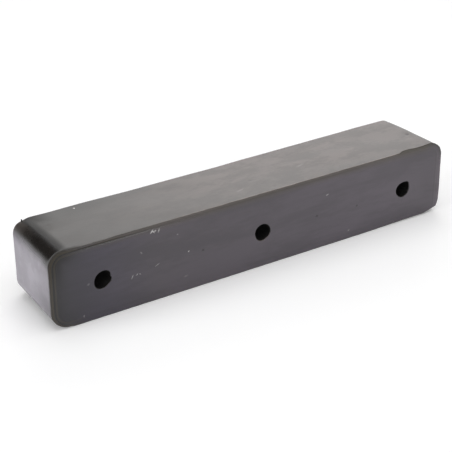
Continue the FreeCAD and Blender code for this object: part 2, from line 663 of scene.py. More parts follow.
    def cell_rings(self, line: BarOutline, steps: int = 30) -> list[np.ndarray]:
        """The closed line round each hole: stretches of the inner outline joined by upright lines.

        Args:
            line: The mould's outline.
            steps: Steps of an upright line.
        Returns:
            One array (stations, 2) for each hole, clockwise.
        """
        inner = line.at(np.array([[self.size.band]]))[0]
        top_a, top_b = line.top_splits
        low_a, low_b = line.bottom_splits
        t = np.arange(1, steps)[:, None] / steps
        first = inner[top_a] + t * (inner[low_a] - inner[top_a])
        second = inner[top_b] + t * (inner[low_b] - inner[top_b])
        return [
            np.concatenate([inner[low_a:], inner[: top_a + 1], first]),
            np.concatenate([inner[top_a : top_b + 1], second, inner[low_b : low_a + 1], first[::-1]]),
            np.concatenate([inner[top_b : low_b + 1], second[::-1]]),
        ]

    def shape(self) -> tuple[np.ndarray, np.ndarray, np.ndarray]:
        """All patches welded along their shared lines, then moved by the relief.

        Returns:
            Vertices in millimetres, faces, and the finish of each face.
        """
        line = self.outline()
        patches = [self.band_patch(line)]
        for passage, ring in zip(self.passages, self.cell_rings(line)):
            patches.append(passage.patch(ring))
        offset, faces = 0, []
        for patch in patches:
            faces.append(patch.quads(offset))
            offset += patch.points.shape[0] * patch.points.shape[1]
        points = np.concatenate([patch.points.reshape(-1, 3) for patch in patches])
        _, keep, weld = np.unique(np.round(points, 4), axis=0, return_index=True, return_inverse=True)
        quads = weld.reshape(-1)[np.concatenate(faces)]
        return self.relief(points[keep]), quads, np.concatenate([patch.strips() for patch in patches])

    def edge_distance(self, points: np.ndarray) -> np.ndarray:
        """Distance in X and Z from the lip's rounded outline, positive inside it.

        Beside a straight side it is the distance to that side. Within a corner's square it is the corner's
        radius less the distance from the corner's centre.

        Args:
            points: Places in millimetres.
        Returns:
            Millimetres.
        """
        x, z = points[:, 0], points[:, 2]
        size = self.size
        gap = np.minimum.reduce([x - size.left, size.right - x, z - size.bottom, size.top - z])
        for across, up, radius in (
            (-1.0, 1.0, size.upper_radius),
            (1.0, 1.0, size.upper_radius),
            (-1.0, -1.0, size.lower_left_radius),
            (1.0, -1.0, size.lower_right_radius),
        ):
            centre_x = (size.left if across < 0.0 else size.right) - across * radius
            centre_z = (size.bottom if up < 0.0 else size.top) - up * radius
            past_x, past_z = across * (x - centre_x), up * (z - centre_z)
            in_corner = (past_x > 0.0) & (past_z > 0.0)
            gap = np.where(in_corner, radius - np.hypot(past_x, past_z), gap)
        return gap

    def relief(self, points: np.ndarray) -> np.ndarray:
        """Moves the surface as cooling, knocks and handling did, by soft functions of its place.

        Both faces sink by a wave field in X and Z. The upper side's rear edge bows by a cubic in x / half,
        which fades to nothing at the mounting face. Towards the upper left corner that side falls off by a
        soft shoulder, which fades towards the impact face, and it is dented. The upper right corner stands
        full behind the lip and shrinks by a square of the depth towards the impact face. Upper, lower and end
        sides waver by wave fields.

        Args:
            points: Vertices as moulded, in millimetres.
        Returns:
            The moved vertices.
        """
        size = self.size
        x, y, z = points.T
        moved = points.copy()
        inner = smoothstep(size.band, size.band + self.sink_ramp, self.edge_distance(points))
        faces = ((1.0, y, Seed.MOUNTING_FACE), (-1.0, size.depth - y, Seed.IMPACT_FACE))
        for (toward, gap, seed), length in zip(faces, self.face_waves):
            sunk = 0.5 + 0.5 * np.clip(wave_field(x, z, length, seed), -1.0, 1.0)
            moved[:, 1] += toward * self.face_sink * inner * sunk * np.exp(-((gap / self.sink_reach) ** 2))
        half = size.length / 2
        along = (x + size.row_shift) / half
        back = y / size.depth
        high = smoothstep(0.0, size.top, z)
        moved[:, 2] += np.polyval(self.rear_bow, along) * back * high
        behind = smoothstep(size.lip_thickness, self.side_depth, y)
        fall = smoothstep(*self.shoulder_run, x) * smoothstep(size.lip_thickness, self.shoulder_depth, y)
        moved[:, 2] -= self.shoulder * fall * high * (1.0 - self.shoulder_loss * back)
        arc = smoothstep(*self.corner_run, x) * smoothstep(*self.corner_height, z)
        arc *= smoothstep(size.lip_thickness, self.corner_depth, y)
        swell = (self.corner_swell[0] - self.corner_swell[1] * back**2) * arc
        moved[:, 0] += self.corner_heading[0] * swell
        moved[:, 2] += self.corner_heading[1] * swell
        upper = smoothstep(*self.side_ramp, size.top - z)
        lower = smoothstep(*self.side_ramp, z - size.bottom)
        squeezed = self.side_wave_squeeze * y
        above = wave_field(x, squeezed, self.side_wave_length, Seed.UPPER_SIDE)
        beneath = np.abs(wave_field(x, squeezed, self.side_wave_length, Seed.LOWER_SIDE))
        moved[:, 2] += self.side_wave * behind * upper * above
        moved[:, 2] += self.side_wave * behind * lower * beneath
        end = smoothstep(*self.end_ramp, half - np.abs(x + size.row_shift))
        beside = np.abs(wave_field(y, z, self.end_wave_length, Seed.ENDS))
        moved[:, 0] -= np.sign(x) * self.side_wave * behind * end * beside
        for dent in self.dents:
            gap = ((x - dent.x) ** 2 + (y - dent.y) ** 2) / dent.radius**2
            moved[:, 2] -= dent.depth * np.exp(-gap) * upper
        return moved

    def build(self) -> bpy.types.Object:
        """Makes the mesh, marks its sharp edges and stores each vertex's distance from the lip.

        Returns:
            The bar as an object at the origin.
        """
        points, quads, finishes = self.shape()
        mesh = bpy.data.meshes.new("rubber_bar_moulding")
        mesh.from_pydata((points * MM).tolist(), [], quads.tolist())
        mesh.polygons.foreach_set("material_index", finishes.astype(np.int32))
        mesh.polygons.foreach_set("use_smooth", np.ones(len(quads), bool))
        mesh.update()
        if mesh.validate():
            log.warning("the bar's mesh had faults, which were removed")
        distance = mesh.attributes.new("edge_distance", "FLOAT", "POINT")
        distance.data.foreach_set("value", (self.edge_distance(points) * MM).astype(np.float32))
        mark_sharp_edges(mesh, self.sharp_angle)
        bar = bpy.data.objects.new("rubber_bar_moulding", mesh)
        bpy.context.scene.collection.objects.link(bar)
        return bar


def mark_sharp_edges(mesh: bpy.types.Mesh, limit: float) -> None:
    """Marks each edge whose two faces meet at more than the limit, so that it shades as an edge.

    Args:
        mesh: A closed mesh of quads.
        limit: Angle in degrees.
    """
    count = len(mesh.polygons)
    normals = np.zeros(count * 3, np.float32)
    mesh.polygons.foreach_get("normal", normals)
    normals = normals.reshape(-1, 3)
    loops = np.zeros(len(mesh.loops), np.int32)
    mesh.loops.foreach_get("edge_index", loops)
    owners = np.repeat(np.arange(count), 4)
    order = np.argsort(loops, kind="stable")
    pairs = owners[order].reshape(-1, 2)
    cosine = np.einsum("ij,ij->i", normals[pairs[:, 0]], normals[pairs[:, 1]])
    mesh.edges.foreach_set("use_edge_sharp", cosine < math.cos(math.radians(limit)))


@dataclass
class VentPip:
    """The stub that a mould vent left in a small hollow at the impact face's upper left corner."""

    base: Triple = (-215.8, 78.0, 38.8)
    axis: Triple = (-0.1, 0.05, 1.0)
    length: float = 2.5
    radius: float = 0.8
    bend: float = 0.2
    cap: float = 0.1
    steps: int = 16

    def build(self) -> bpy.types.Object:
        """A turned stub: radius * profile(t) round its axis, which bends a little to the left.

        Returns:
            The stub as an object at the origin.
        """
        t = np.array([-0.6, 0.0, 0.3, 0.55, 0.75, 0.9, 0.98])
        profile = np.array([1.3, 1.1, 0.85, 0.8, 0.75, 0.5, 0.2])
        turn = np.linspace(0.0, 2.0 * math.pi, self.steps, endpoint=False)
        axis = np.array(self.axis) / np.linalg.norm(self.axis)
        side = np.cross(axis, (0.0, 1.0, 0.0))
        side /= np.linalg.norm(side)
        other = np.cross(axis, side)
        ring = np.cos(turn)[:, None] * side + np.sin(turn)[:, None] * other
        centre = np.array(self.base) + self.length * t[:, None] * axis
        centre[:, 0] -= self.bend * np.clip(t, 0.0, 1.0) ** 2
        grid = centre[:, None] + self.radius * profile[:, None, None] * ring[None]
        points = np.concatenate([grid.reshape(-1, 3), centre[:1], centre[-1:] + self.cap * axis])
        wall = Patch(grid, np.zeros(len(t), int)).quads(0)
        foot, tip = len(points) - 2, len(points) - 1
        this = np.arange(self.steps)
        following = np.roll(this, -1)
        last = (len(t) - 1) * self.steps
        foot_cap = np.stack([np.full(self.steps, foot), following, this], 1)
        tip_cap = np.stack([np.full(self.steps, tip), last + this, last + following], 1)
        faces = [*wall.tolist(), *foot_cap.tolist(), *tip_cap.tolist()]
        mesh = bpy.data.meshes.new("vent_pip")
        mesh.from_pydata((points * MM).tolist(), [], faces)
        mesh.polygons.foreach_set("use_smooth", np.ones(len(mesh.polygons), bool))
        mesh.update()
        pip = bpy.data.objects.new("vent_pip", mesh)
        bpy.context.scene.collection.objects.link(pip)
        return pip


class Nodes:
    """Short calls for building one node tree."""

    def __init__(self, tree: bpy.types.NodeTree) -> None:
        """Keeps the tree."""
        self.tree = tree

    def add(self, kind: str, settings: dict[str, Any] | None = None, **inputs: Any) -> bpy.types.Node:
        """Adds a node and fills its sockets.

        Args:
            kind: The node's type name.
            settings: Properties of the node itself.
            inputs: Socket names, with _ for a space, and what each gets: a value or another socket.
        Returns:
            The node.
        """
        node = self.tree.nodes.new(kind)
        for name, value in (settings or {}).items():
            setattr(node, name, value)
        for name, value in inputs.items():
            self.put(node.inputs[name.replace("_", " ")], value)
        return node

    def put(self, socket: bpy.types.NodeSocket, value: Any) -> None:
        """Links a socket to another one, or sets its value.

        Args:
            socket: The socket that takes it.
            value: Another socket, or a value.
        """
        if isinstance(value, bpy.types.NodeSocket):
            self.tree.links.new(value, socket)
        else:
            socket.default_value = value

    def math(self, operation: str, *values: Any) -> bpy.types.NodeSocket:
        """Adds a Math node.

        Args:
            operation: What it does, such as MULTIPLY.
            values: What each input gets: a value or another socket.
        Returns:
            Its result.
        """
        node = self.tree.nodes.new("ShaderNodeMath")
        node.operation = operation
        for socket, value in zip(node.inputs, values):
            self.put(socket, value)
        return node.outputs[0]

    def vector(self, operation: str, *values: Any, out: int = 0) -> bpy.types.NodeSocket:
        """Adds a Vector Math node.

        Args:
            operation: What it does, such as ABSOLUTE.
            values: What each input gets: a value or another socket.
            out: 0 where it gives a vector, 1 where it gives a number.
        Returns:
            Its result.
        """
        node = self.tree.nodes.new("ShaderNodeVectorMath")
        node.operation = operation
        for socket, value in zip(node.inputs, values):
            self.put(socket, value)
        return node.outputs[out]

    def product(self, *values: Any) -> bpy.types.NodeSocket:
        """Multiplies several values.

        Args:
            values: Sockets or numbers.
        Returns:
            Their product.
        """
        total = values[0]
        for value in values[1:]:
            total = self.math("MULTIPLY", total, value)
        return total

    def rest(self, value: Any) -> bpy.types.NodeSocket:
        """1 less a value."""
        return self.math("SUBTRACT", 1.0, value)

    def axes(self, vector: Any) -> tuple[bpy.types.NodeSocket, ...]:
        """The X, Y and Z of a vector."""
        return tuple(self.add("ShaderNodeSeparateXYZ", None, Vector=vector).outputs)

    def gap(self, value: Any, place: float) -> bpy.types.NodeSocket:
        """How far a value in metres is from a place in millimetres."""
        return self.math("ABSOLUTE", self.math("SUBTRACT", value, place * MM))

    def fade(self, value: Any, fade: Fade) -> bpy.types.NodeSocket:
        """What a fade gives where the value, in metres, has got to."""
        return self.ramp(value, fade.low * MM, fade.high * MM, fade.start, fade.end)

    def ramp(
        self, value: Any, low: Any, high: Any, start: float = 0.0, end: float = 1.0
    ) -> bpy.types.NodeSocket:
        """A soft ramp of a value, level before low and past high.

        Args:
            value: What runs along the ramp.
            low: Where it leaves start.
            high: Where it reaches end.
            start: What the ramp gives at low.
            end: What it gives at high.
        Returns:
            The ramp's value.
        """
        node = self.add(
            "ShaderNodeMapRange",
            {"interpolation_type": "SMOOTHSTEP", "clamp": True},
            Value=value,
            From_Min=low,
            From_Max=high,
            To_Min=start,
            To_Max=end,
        )
        return node.outputs["Result"]

    def mix(self, share: Any, first: Any, second: Any) -> bpy.types.NodeSocket:
        """Mixes two colours.

        Args:
            share: How much of the second there is.
            first: The colour at 0.
            second: The colour at 1.
        Returns:
            The mixed colour.
        """
        node = self.tree.nodes.new("ShaderNodeMix")
        node.data_type = "RGBA"
        self.put(node.inputs[0], share)
        self.put(node.inputs[6], first)
        self.put(node.inputs[7], second)
        return node.outputs[2]

    def noise(self, vector: Any, scale: Any, detail: float, roughness: float = 0.5) -> bpy.types.NodeSocket:
        """A noise texture's value, about 0.3 to 0.7.

        Args:
            vector: Where it is read.
            scale: How fine its blotches are.
            detail: How many finer layers it has.
            roughness: How strong the finer layers are.
        Returns:
            The value.
        """
        kind = "ShaderNodeTexNoise"
        node = self.add(kind, None, Vector=vector, Scale=scale, Detail=detail, Roughness=roughness)
        return node.outputs["Fac"]

    def group(self, group: bpy.types.NodeTree, **inputs: Any) -> bpy.types.NodeSocket:
        """Places a node group.

        Args:
            group: The group.
            inputs: Socket names, with _ for a space, and what each gets: a value or another socket.
        Returns:
            Its first output.
        """
        node = self.tree.nodes.new("ShaderNodeGroup")
        node.node_tree = group
        for name, value in inputs.items():
            self.put(node.inputs[name.replace("_", " ")], value)
        return node.outputs[0]


def new_group(
    name: str, inputs: dict[str, str], output: tuple[str, str]
) -> tuple[Nodes, dict[str, Any], Any]:
    """An empty shader node group with its sockets.

    Args:
        name: The group's name.
        inputs: Names of the inputs and their short types, such as Float.
        output: Name and short type of the output.
    Returns:
        The group's nodes, its input sockets by name, and the socket that takes its result.
    """
    tree = bpy.data.node_groups.new(name, "ShaderNodeTree")
    for label, kind in inputs.items():
        tree.interface.new_socket(label, in_out="INPUT", socket_type="NodeSocket" + kind)
    tree.interface.new_socket(output[0], in_out="OUTPUT", socket_type="NodeSocket" + output[1])
    entry = tree.nodes.new("NodeGroupInput")
    leave = tree.nodes.new("NodeGroupOutput")
    return Nodes(tree), {label: entry.outputs[label] for label in inputs}, leave.inputs[0]


@dataclass(frozen=True)
class DullLay:
    """Where the rubber is matt. Places and distances in millimetres."""

    face_depth: Fade = Fade(6.0, 2.0)
    left_run: Fade = Fade(-188.0, -220.0)
    left_reach: Fade = Fade(24.0, 2.0)
    left_height: Fade = Fade(0.0, 34.0, 0.45, 1.0)
    groove_inset: float = 2.9
    groove_width: Fade = Fade(1.4, 0.3)
    groove_height: Fade = Fade(30.0, 36.0)
    groove_past_left: Fade = Fade(-165.0, -140.0, 1.0, 0.34)
    groove_to_right: Fade = Fade(80.0, 150.0, 1.0, 0.25)
    rear_waver: float = 12.0
    rear_depth: Fade = Fade(40.0, 82.0)
    rear_run: Fade = Fade(-184.0, -210.0)
    rear_height: Fade = Fade(12.0, 30.0, 0.0, 0.42)
    corner_run: Fade = Fade(-204.0, -211.2)
    corner_end: Fade = Fade(-217.5, -211.5)
    corner_depth: Fade = Fade(2.0, 10.0, 0.0, 0.36)
    corner_height: Fade = Fade(30.0, 38.0)


@dataclass(frozen=True)
class Thread:
    """A fine line in the rim's colour beside the lip at an inset: brown by the lip, and past the groove a
    painted highlight of its lit inner wall.
    """

    inset: float
    half_width: float
    strength: float


@dataclass(frozen=True)
class BloomAndPaintedLightLay:
    """Where the grey bloom lies, and how thickly, with the painted reflection, highlight and shade laid into
    it. Places and distances in millimetres.
    """

    unevenness: float = 0.12
    end_facing: Pair = (0.80, 0.995)
    side_facing: Pair = (0.90, 0.995)
    front_facing: Pair = (0.90, 0.99)
    # The upper and lower sides: bloom with a painted falloff of the softbox's reflection along the upper side
    upper_corner: Fade = Fade(-211.0, -203.0)
    # Painted falloff of the softbox's reflection together with the bloom thinning towards the left end
    upper_bloom_and_falloff: Fade = Fade(-210.0, 30.0, 0.14, 0.84)
    upper_right: Fade = Fade(60.0, 190.0, 0.0, 0.11)
    upper_depth: Fade = Fade(8.0, 45.0, 0.86, 1.04)
    # Painted shadow of the lip with some wear: thinner bloom just behind it
    upper_lip_shadow_and_wear: Fade = Fade(-1.0, 3.0, 0.7, 1.0)
    rear_depth: Fade = Fade(50.0, 74.0)
    rear_left: Fade = Fade(-50.0, -180.0)
    # The rounded edge between the mounting face and the upper side: bloom with a painted highlight of the
    # light catching it
    edge_facing: Pair = (0.06, 0.45)
    edge_depth: Fade = Fade(3.0, 1.5)
    edge_run: Fade = Fade(-190.0, -130.0, 0.6, 1.6)
    edge_right: Fade = Fade(160.0, 170.0, 1.0, 0.1)
    # The upper left corner's arc
    arc_run: Fade = Fade(-202.0, -208.0)
    arc_height: Fade = Fade(20.0, 28.0)
    arc_depth: Fade = Fade(40.0, 80.0, 0.06, 0.42)
    # The mounting and impact faces: bloom, thinner and bluer towards the left end as painted shade
    front_left_shade: Fade = Fade(-268.0, -90.0, 0.0, 0.62)
    front_run: Fade = Fade(-150.0, 200.0, 0.0, 0.22)
    front_right: Fade = Fade(150.0, 215.0, 1.0, 0.79)
    right_rim: Fade = Fade(6.0, 1.0, 0.0, 0.35)
    right_rim_run: Fade = Fade(205.0, 217.0)
    flash_run: Fade = Fade(160.0, 172.0)
    flash_reach: Fade = Fade(3.5, 0.0)
    flash_height: Fade = Fade(20.0, 34.0, 0.0, 0.75)
    tone_run: Fade = Fade(-210.0, -110.0)
    # The brown beside the lip, and past the groove a line that is a painted highlight of its lit inner wall
    rim_reach: Fade = Fade(10.0, 0.5)
    rim_run: Fade = Fade(-205.0, -170.0, 0.16, 0.55)
    rim_height: Fade = Fade(-34.0, -10.0)
    rim_right: Fade = Fade(200.0, 214.0, 1.0, 0.2)
    threads: Sequence[Thread] = (Thread(5.5, 1.2, 0.32), Thread(1.8, 2.0, 0.42))
    thread_core: float = 0.1
    thread_run: Fade = Fade(-188.0, -212.0)
    # The end faces, where the bloom's colour is a painted reflection of the pale floor
    # Painted shadow of the lip: the end's painted reflection is thinner just behind it
    end_lip_shadow: Fade = Fade(0.5, 6.0, 0.30, 0.68)
    end_depth: Fade = Fade(4.0, 45.0, 0.0, 0.32)
    end_rear: Fade = Fade(50.0, 75.0, 1.0, 0.87)
    # Painted shade low by the mounting face, where the end reflects the floor's contact shadow
    end_low_shade: Fade = Fade(2.0, -14.0)
    end_low_shade_depth: Fade = Fade(34.0, 6.0)
    end_low_shade_loss: float = 0.24
    end_top: Fade = Fade(6.0, 19.0, 33.5, 37.5)
    end_full: float = 21.5
    end_more: float = 0.12


class RubberEffects:
    """The node groups that the rubber's finishes share. Each is built once. Scales are in 1 / metre."""

    CLOUD_SPAN: Pair = (0.36, 0.64)
    FINE_CLOUDS = 5.3
    FINE_SHARE = 0.32
    PIT_SCALE = 2600.0
    PIT_SHARE = 0.5
    LUMP_SCALE = 420.0
    FLOW_SCALE = 260.0
    FLOW_STRETCH = 0.18
    RAGGED_SCALE = 1500.0
    RAGGEDNESS = 0.45
    OVAL_EDGE: Pair = (1.15, 0.5)
    TURN: Pair = (0.998, 0.97)
    SMUDGE_SCALE = 42.0
    SMEAR_SCALE = 55.0
    SMEAR_STRETCH = 0.55

    def __init__(self) -> None:
        """Builds the groups."""
        self.clouds = self._clouds()
        self.relief = self._relief()
        self.mark = self._mark()
        self.turned = self._turned()
        self.dull = self._dull(DullLay())
        self.film = self._bloom_and_painted_light(BloomAndPaintedLightLay())

    def _clouds(self) -> bpy.types.NodeTree:
        """Soft streaks along the bar with finer clouds over them, as a mask from 0 to 1.

        Returns:
            The node group.
        """
        nodes, sockets, result = new_group(
            "rubber_clouds", {"Vector": "Vector", "Scale": "Float", "Stretch": "Float"}, ("Mask", "Float")
        )
        squeeze = nodes.add("ShaderNodeCombineXYZ", None, X=sockets["Stretch"], Y=1.0, Z=1.0).outputs[0]
        streaked = nodes.vector("MULTIPLY", sockets["Vector"], squeeze)
        broad = nodes.noise(streaked, sockets["Scale"], 2.0, 0.5)
        finer = nodes.math("MULTIPLY", sockets["Scale"], self.FINE_CLOUDS)
        fine = nodes.math("MULTIPLY", nodes.noise(streaked, finer, 4.0, 0.6), self.FINE_SHARE)
        blend = nodes.math("MULTIPLY_ADD", broad, 1.0 - self.FINE_SHARE, fine)
        nodes.put(result, nodes.ramp(blend, *self.CLOUD_SPAN))
        return nodes.tree

    def _relief(self) -> bpy.types.NodeTree:
        """Height of the mould's fine grain with flow lines along the bar.

        Returns:
            The node group.
        """
        nodes, sockets, result = new_group(
            "rubber_relief", {"Vector": "Vector", "Grain": "Float", "Flow": "Float"}, ("Height", "Float")
        )
        pits = nodes.noise(sockets["Vector"], self.PIT_SCALE, 2.0, 0.6)
        lumps = nodes.noise(sockets["Vector"], self.LUMP_SCALE, 3.0, 0.55)
        streaked = nodes.vector("MULTIPLY", sockets["Vector"], (self.FLOW_STRETCH, 1.0, 1.0))
        lines = nodes.noise(streaked, self.FLOW_SCALE, 2.0, 0.5)
        grain = nodes.product(nodes.math("MULTIPLY_ADD", pits, self.PIT_SHARE, lumps), sockets["Grain"])
        nodes.put(result, nodes.math("MULTIPLY_ADD", lines, sockets["Flow"], grain))
        return nodes.tree

    def _mark(self) -> bpy.types.NodeTree:
        """A ragged oval: 1 where (along / half length)^2 + (across / half width)^2 is under 1.

        Returns:
            The node group.
        """
        nodes, sockets, result = new_group(
            "rubber_mark",
            {
                "Vector": "Vector",
                "Centre": "Vector",
                "Turn": "Float",
                "Half Length": "Float",
                "Half Width": "Float",
                "Strength": "Float",
            },
            ("Mask", "Float"),
        )
        local = nodes.add(
            "ShaderNodeVectorRotate",
            {"rotation_type": "Z_AXIS"},
            Vector=sockets["Vector"],
            Center=sockets["Centre"],
            Angle=nodes.math("MULTIPLY", sockets["Turn"], -1.0),
        ).outputs[0]
        gap_x, gap_y, _ = nodes.axes(nodes.vector("SUBTRACT", local, sockets["Centre"]))
        along = nodes.math("DIVIDE", gap_x, sockets["Half Length"])
        across = nodes.math("DIVIDE", gap_y, sockets["Half Width"])
        distance = nodes.math("SQRT", nodes.math("MULTIPLY_ADD", along, along, nodes.product(across, across)))
        ragged = nodes.noise(sockets["Vector"], self.RAGGED_SCALE, 2.0)
        ragged = nodes.ramp(ragged, 0.3, 0.7, -self.RAGGEDNESS, self.RAGGEDNESS)
        oval = nodes.ramp(nodes.math("ADD", distance, ragged), *self.OVAL_EDGE)
        nodes.put(result, nodes.product(oval, sockets["Strength"]))
        return nodes.tree

    def _turned(self) -> bpy.types.NodeTree:
        """1 where the surface turns from one side of the bar to the next, and 0 on its flats.

        Returns:
            The node group.
        """
        nodes, sockets, result = new_group("rubber_turned", {"Normal": "Vector"}, ("Mask", "Float"))
        x, y, z = nodes.axes(nodes.vector("ABSOLUTE", sockets["Normal"]))
        largest = nodes.math("MAXIMUM", nodes.math("MAXIMUM", x, y), z)
        nodes.put(result, nodes.ramp(largest, *self.TURN))
        return nodes.tree

    def _dull(self, lay: DullLay) -> bpy.types.NodeTree:
        """Matt rubber, from 0 to 1: beside the lip at the left end, in the groove, by the upper left corner.

        Args:
            lay: Where it is matt.
        Returns:
            The node group.
        """
        nodes, sockets, result = new_group(
            "rubber_dull", {"Vector": "Vector", "Distance": "Float"}, ("Mask", "Float")
        )
        x, y, z = nodes.axes(sockets["Vector"])
        distance = sockets["Distance"]
        beside = nodes.product(
            nodes.fade(x, lay.left_run), nodes.fade(distance, lay.left_reach), nodes.fade(z, lay.left_height)
        )
        groove = nodes.product(
            nodes.fade(nodes.gap(distance, lay.groove_inset), lay.groove_width),
            nodes.fade(z, lay.groove_height),
            nodes.fade(x, lay.groove_past_left),
            nodes.fade(x, lay.groove_to_right),
        )
        front = nodes.product(nodes.math("MAXIMUM", beside, groove), nodes.fade(y, lay.face_depth))
        smudge = nodes.group(self.clouds, Vector=sockets["Vector"], Scale=self.SMUDGE_SCALE, Stretch=1.0)
        waver = nodes.math("MULTIPLY_ADD", smudge, 2.0 * lay.rear_waver * MM, -lay.rear_waver * MM)
        rear = nodes.product(
            nodes.fade(nodes.math("ADD", y, waver), lay.rear_depth),
            nodes.fade(x, lay.rear_run),
            nodes.fade(z, lay.rear_height),
        )
        corner = nodes.product(
            nodes.fade(x, lay.corner_run),
            nodes.fade(x, lay.corner_end),
            nodes.fade(y, lay.corner_depth),
            nodes.fade(z, lay.corner_height),
        )
        nodes.put(result, nodes.math("MAXIMUM", front, nodes.math("MAXIMUM", rear, corner)))
        return nodes.tree

    def _bloom_and_painted_light(self, lay: BloomAndPaintedLightLay) -> bpy.types.NodeTree:
        """The bare rubber's colour with the bloom laid on each flat, the painted reflection, highlight and
        shade laid into that bloom, and the brown of the rims over it.

        Args:
            lay: Where the bloom and its painted light lie.
        Returns:
            The node group.
        """
        colours = ("Bare", "Upper", "Front", "Front Left", "End", "Rim", "Arc")
        kinds = {"Vector": "Vector", "Normal": "Vector"}
        kinds.update({label: "Float" for label in ("Distance", "Clouds", "Dull", "Share")})
        kinds.update({label: "Color" for label in colours})
        nodes, sockets, result = new_group("rubber_bloom_and_painted_light", kinds, ("Color", "Color"))
        x, y, z = nodes.axes(sockets["Vector"])
        facing_x, facing_y, facing_z = nodes.axes(sockets["Normal"])
        distance = sockets["Distance"]
        ends = nodes.ramp(nodes.math("ABSOLUTE", facing_x), *lay.end_facing)
        sides = nodes.ramp(nodes.math("ABSOLUTE", facing_z), *lay.side_facing)
        flats = nodes.ramp(nodes.math("ABSOLUTE", facing_y), *lay.front_facing)
        patchy = nodes.ramp(sockets["Clouds"], 0.0, 1.0, -lay.unevenness, lay.unevenness)
        patchy = nodes.math("ADD", patchy, sockets["Share"])
        smears = nodes.group(
            self.clouds, Vector=sockets["Vector"], Scale=self.SMEAR_SCALE, Stretch=self.SMEAR_STRETCH
        )
        smears = nodes.ramp(smears, 0.0, 1.0, 1.0 - 2.0 * lay.unevenness, 1.0 + 2.0 * lay.unevenness)

        # The upper and lower sides: thin towards the left end, partly as a painted falloff of the softbox's
        # reflection; thin by the lip as its painted shadow; off the upper left corner
        rear_left = nodes.product(nodes.fade(y, lay.rear_depth), nodes.fade(x, lay.rear_left))
        lying = nodes.product(
            nodes.math("ADD", nodes.fade(x, lay.upper_bloom_and_falloff), nodes.fade(x, lay.upper_right)),
            nodes.fade(y, lay.upper_depth),
            nodes.rest(rear_left),
            nodes.fade(x, lay.upper_corner),
            nodes.fade(y, lay.upper_lip_shadow_and_wear),
            smears,
        )
        # Bloom with a painted highlight along the rounded edge by the lip
        edge_bloom_and_highlight = nodes.product(
            nodes.ramp(facing_z, *lay.edge_facing),
            nodes.fade(y, lay.edge_depth),
            nodes.fade(x, lay.edge_run),
            nodes.fade(x, lay.edge_right),
        )
        share = nodes.product(nodes.math("MAXIMUM", sides, edge_bloom_and_highlight), lying, patchy)
        colour = nodes.mix(nodes.math("MINIMUM", share, 1.0), sockets["Bare"], sockets["Upper"])

        # The upper left corner's arc: bare, with a brown smear towards the impact face
        arc = nodes.product(nodes.fade(x, lay.arc_run), nodes.fade(z, lay.arc_height))
        between = nodes.product(nodes.rest(sides), nodes.rest(ends), nodes.rest(flats))
        share = nodes.product(arc, between, nodes.fade(y, lay.arc_depth), smears)
        colour = nodes.mix(share, colour, sockets["Arc"])

        # The mounting and impact faces, whose bloom thins out towards both ends; towards the left end the
        # thinner, bluer bloom is painted shade of the bar's shadow on the floor in their reflection
        rubbed_and_shaded = nodes.math("ADD", nodes.fade(x, lay.front_left_shade), nodes.fade(x, lay.front_run))
        rubbed_and_shaded = nodes.product(rubbed_and_shaded, nodes.fade(x, lay.front_right))
        right_rim = nodes.product(nodes.fade(distance, lay.right_rim), nodes.fade(x, lay.right_rim_run))
        rubbed_and_shaded = nodes.product(nodes.math("ADD", rubbed_and_shaded, right_rim), nodes.rest(sockets["Dull"]))
        flash = nodes.product(
            nodes.fade(x, lay.flash_run),
            nodes.fade(distance, lay.flash_reach),
            nodes.fade(z, lay.flash_height),
        )
        tone = nodes.mix(nodes.fade(x, lay.tone_run), sockets["Front Left"], sockets["Front"])
        colour = nodes.mix(nodes.product(flats, rubbed_and_shaded, nodes.rest(flash), patchy), colour, tone)
        worn = nodes.product(
            nodes.fade(x, lay.rim_run), nodes.fade(z, lay.rim_height), nodes.fade(x, lay.rim_right)
        )
        rim = nodes.product(nodes.fade(distance, lay.rim_reach), flats, worn)
        colour = nodes.mix(rim, colour, sockets["Rim"])
        # Lines in the rim's colour: brown by the lip, and a painted highlight of the groove's lit inner wall
        for thread in lay.threads:
            width = Fade(thread.half_width, lay.thread_core, 0.0, thread.strength)
            line = nodes.fade(nodes.gap(distance, thread.inset), width)
            line = nodes.product(line, flats, nodes.fade(x, lay.thread_run))
            colour = nodes.mix(line, colour, sockets["Rim"])

        # The end faces: a painted reflection of the pale floor, thinned behind the lip as its painted shadow,
        # low by the mounting face as painted shade, and thin under the arc
        laid = nodes.math("ADD", nodes.fade(y, lay.end_lip_shadow), nodes.fade(y, lay.end_depth))
        # Painted shade low by the mounting face, where the end reflects the floor's contact shadow
        low = nodes.product(nodes.fade(z, lay.end_low_shade), nodes.fade(y, lay.end_low_shade_depth))
        bare_above = nodes.math("MULTIPLY", nodes.fade(y, lay.end_top), MM)
        share = nodes.product(
            ends,
            laid,
            nodes.fade(y, lay.end_rear),
            nodes.ramp(z, bare_above, lay.end_full * MM),
            nodes.math("MULTIPLY_ADD", low, -lay.end_low_shade_loss, 1.0),
            nodes.math("ADD", patchy, lay.end_more),
        )
        nodes.put(result, nodes.mix(share, colour, sockets["End"]))
        return nodes.tree


@dataclass(frozen=True)
class RubberFinish:
    """How one surface of the rubber looks. Colours are linear, and bump is a height in metres."""

    name: str
    dark: Triple
    worn: Triple
    bloom: Triple
    bloom_share: float
    roughness: float
    roughness_spread: float
    corner_shine: float
    ior: float
    grain: float
    flow: float
    bump: float
    stretch: float


